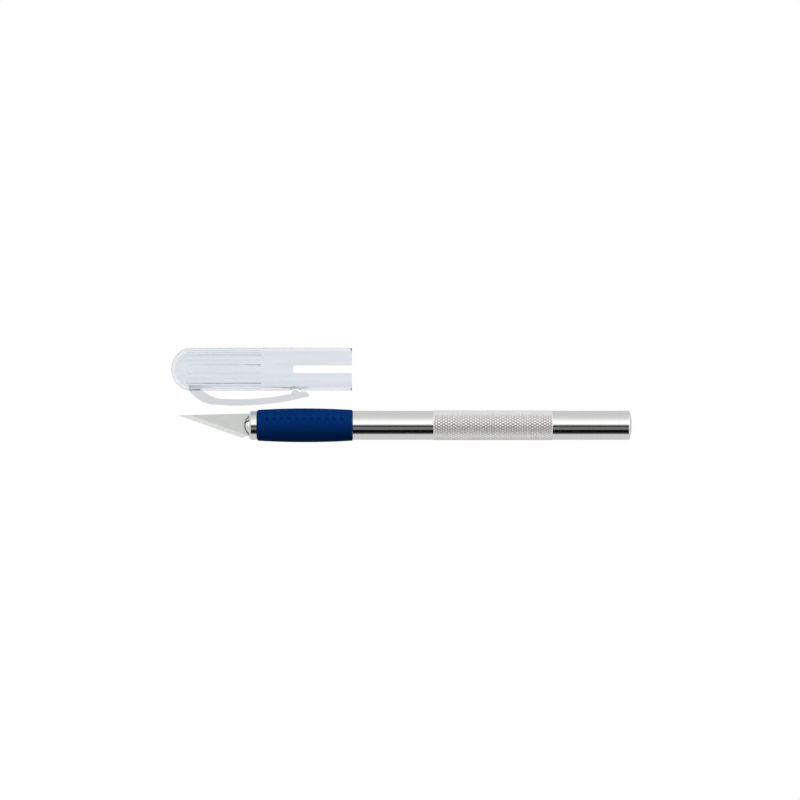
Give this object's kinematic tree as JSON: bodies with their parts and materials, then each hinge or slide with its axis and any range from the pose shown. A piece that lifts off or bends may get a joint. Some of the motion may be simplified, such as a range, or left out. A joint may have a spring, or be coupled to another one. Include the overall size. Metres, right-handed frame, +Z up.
{
  "type": "hobby craft knife",
  "caption": "Slim hobby knife: pointed blade in a split collet, rubber grip, knurled aluminium barrel that twists to release the blade, and a clear cap with a pocket clip beside it.",
  "frame": {"origin": "on the surface that the knife and its cap lie on, under the middle of the pair", "axes": "+X along the knife from the blade's tip to the barrel's end, +Y from the knife towards the cap, +Z up"},
  "size_m": [0.1494, 0.0306, 0.0139],
  "materials": {
    "bright_aluminium": "bright turned",
    "collet_aluminium": "turned",
    "grip_rubber": "satin",
    "blade_steel": "ground",
    "clear_plastic": "clear moulded"
  },
  "bodies": {
    "holder": {"nose_sleeve": "bright_aluminium", "grip": "grip_rubber"},
    "barrel": {"rear_barrel": "bright_aluminium"},
    "collet": {"collet_shank": "collet_aluminium"},
    "jaw_1": {"collet_jaw_1": "collet_aluminium"},
    "jaw_2": {"collet_jaw_2": "collet_aluminium"},
    "jaw_3": {"collet_jaw_3": "collet_aluminium"},
    "jaw_4": {"collet_jaw_4": "collet_aluminium"},
    "blade": {"blade": "blade_steel"},
    "cap": {"cap_shell": "clear_plastic"},
    "clip": {"pocket_clip": "clear_plastic"}
  },
  "joints": [
    {"name": "barrel_twist", "type": "hinge", "parent": "holder", "child": "barrel", "pos_m": [-0.01593, -0.00983, 0.0055], "axis": [1, 0, 0], "range_deg": [0, 720]},
    {"name": "collet_advance", "type": "slide", "parent": "holder", "child": "collet", "axis": [-1, 0, 0], "range_m": [0, 0.0014]},
    {"name": "jaw_1_flex", "type": "hinge", "parent": "collet", "child": "jaw_1", "pos_m": [-0.03087, -0.00794, 0.00663], "axis": [0, 0.515, -0.8572], "range_deg": [0, 0.8]},
    {"name": "jaw_2_flex", "type": "hinge", "parent": "collet", "child": "jaw_2", "pos_m": [-0.03087, -0.01096, 0.00739], "axis": [0, 0.8572, 0.515], "range_deg": [0, 0.8]},
    {"name": "jaw_3_flex", "type": "hinge", "parent": "collet", "child": "jaw_3", "pos_m": [-0.03087, -0.01171, 0.00437], "axis": [0, -0.515, 0.8572], "range_deg": [0, 0.8]},
    {"name": "jaw_4_flex", "type": "hinge", "parent": "collet", "child": "jaw_4", "pos_m": [-0.03087, -0.00869, 0.00361], "axis": [0, -0.8572, -0.515], "range_deg": [0, 0.8]},
    {"name": "blade_slide", "type": "slide", "parent": "collet", "child": "blade", "axis": [-1, 0, 0], "range_m": [0, 0.019]},
    {"name": "cap_slide", "type": "slide", "parent": "holder", "child": "cap", "axis": [-1, 0, 0], "range_m": [0, 0.06]},
    {"name": "clip_flex", "type": "hinge", "parent": "cap", "child": "clip", "pos_m": [-0.05953, -0.00213, 0.00695], "axis": [0, 0, -1], "range_deg": [0, 4], "stiffness_Nm_per_rad": 0.5}
  ],
  "couplings": [
    {"joint": "collet_advance", "follows": "barrel_twist", "m_per_rad": 0.0001114},
    {"joint": "jaw_1_flex", "follows": "barrel_twist", "ratio": 0.00111},
    {"joint": "jaw_2_flex", "follows": "barrel_twist", "ratio": 0.00111},
    {"joint": "jaw_3_flex", "follows": "barrel_twist", "ratio": 0.00111},
    {"joint": "jaw_4_flex", "follows": "barrel_twist", "ratio": 0.00111}
  ]
}
